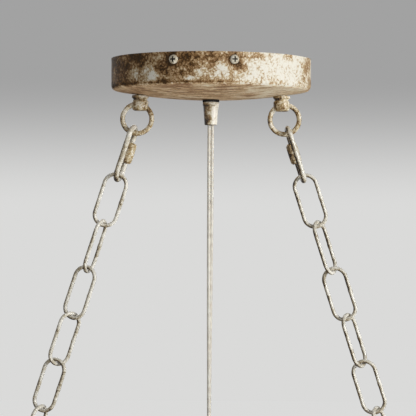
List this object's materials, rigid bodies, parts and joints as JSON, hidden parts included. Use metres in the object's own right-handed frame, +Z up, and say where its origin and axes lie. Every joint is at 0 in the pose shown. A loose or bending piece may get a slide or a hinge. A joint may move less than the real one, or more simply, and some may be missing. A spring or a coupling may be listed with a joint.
{
  "type": "oval chandelier",
  "caption": "Oval cage chandelier with candle lamps, hung from a round ceiling canopy by splayed chains with a straight flat cord between them.",
  "frame": {"origin": "centre of the canopy's ceiling face, in the plane of its two ceiling screws", "axes": "+Z up into the ceiling, +X along the oval to the right as seen from the front, +Y away from the front"},
  "size_m": [0.4, 0.24, 0.5534],
  "materials": {
    "canopy_paint": "hand-distressed cream paint worn to brown",
    "chain_paint": "antiqued cream-silver with brown wear",
    "cage_paint": "hand-distressed cream paint worn to brown",
    "zinc_steel": "zinc plated",
    "screw_paint": "off-white, slot dark",
    "ground_screw": "green",
    "fibre_washer": "black fibre",
    "cord_pvc": "clear beige insulation",
    "wire_nut_plastic": "moulded",
    "candle_sleeve": "ivory card tube",
    "socket_phenolic": "black moulded",
    "bulb_glass": "clear"
  },
  "bodies": {
    "root": {"canopy_shell": "canopy_paint", "mounting_plate": "zinc_steel", "front_side_screws": "screw_paint", "back_side_screws": "screw_paint", "ground_screw": "ground_screw", "hang_stud_left": "chain_paint", "hang_stud_right": "chain_paint", "stud_nuts": "zinc_steel", "cord_nipple": "zinc_steel", "nipple_nut": "zinc_steel", "grip_washer": "fibre_washer", "upper_cord_grip": "chain_paint", "power_cord": "cord_pvc", "lead_wires": "cord_pvc", "wire_nuts": "wire_nut_plastic"},
    "fixture": {"hang_ring_left": "chain_paint", "screw_link_upper_left": "chain_paint", "chain_link_left_1": "chain_paint", "chain_link_left_2": "chain_paint", "chain_link_left_3": "chain_paint", "chain_link_left_4": "chain_paint", "chain_link_left_5": "chain_paint", "chain_link_left_6": "chain_paint", "screw_link_lower_left": "chain_paint", "eye_bolt_left": "chain_paint", "hang_ring_right": "chain_paint", "screw_link_upper_right": "chain_paint", "chain_link_right_1": "chain_paint", "chain_link_right_2": "chain_paint", "chain_link_right_3": "chain_paint", "chain_link_right_4": "chain_paint", "chain_link_right_5": "chain_paint", "chain_link_right_6": "chain_paint", "screw_link_lower_right": "chain_paint", "eye_bolt_right": "chain_paint", "eye_nuts": "cage_paint", "cage_bar": "cage_paint", "top_band": "cage_paint", "bottom_band": "cage_paint", "cage_straps": "cage_paint", "center_stem": "cage_paint", "stem_nuts": "cage_paint", "lower_cord_grip": "chain_paint", "wiring_hub": "cage_paint", "hub_cap": "cage_paint", "finial": "cage_paint", "lamp_arms": "cage_paint", "drip_cups": "cage_paint", "candle_sleeves": "candle_sleeve", "lamp_sockets": "socket_phenolic", "candle_bulbs": "bulb_glass"},
    "gate_sleeve_upper_left": {"gate_sleeve_upper_left": "chain_paint"},
    "gate_sleeve_lower_left": {"gate_sleeve_lower_left": "chain_paint"},
    "gate_sleeve_upper_right": {"gate_sleeve_upper_right": "chain_paint"},
    "gate_sleeve_lower_right": {"gate_sleeve_lower_right": "chain_paint"}
  },
  "joints": [
    {"name": "fixture_swing", "type": "hinge", "parent": "root", "child": "fixture", "pos_m": [0, 0, -0.0363], "axis": [1, 0, 0], "range_deg": [-10, 10], "deforming": ["power_cord"]},
    {"name": "gate_sleeve_upper_left_screw", "type": "slide", "parent": "fixture", "child": "gate_sleeve_upper_left", "axis": [-0.3074, 0, -0.9516], "range_m": [0, 0.007]},
    {"name": "gate_sleeve_lower_left_screw", "type": "slide", "parent": "fixture", "child": "gate_sleeve_lower_left", "axis": [-0.3074, 0, -0.9516], "range_m": [0, 0.007]},
    {"name": "gate_sleeve_upper_right_screw", "type": "slide", "parent": "fixture", "child": "gate_sleeve_upper_right", "axis": [0.3074, 0, -0.9516], "range_m": [0, 0.007]},
    {"name": "gate_sleeve_lower_right_screw", "type": "slide", "parent": "fixture", "child": "gate_sleeve_lower_right", "axis": [0.3074, 0, -0.9516], "range_m": [0, 0.007]}
  ]
}
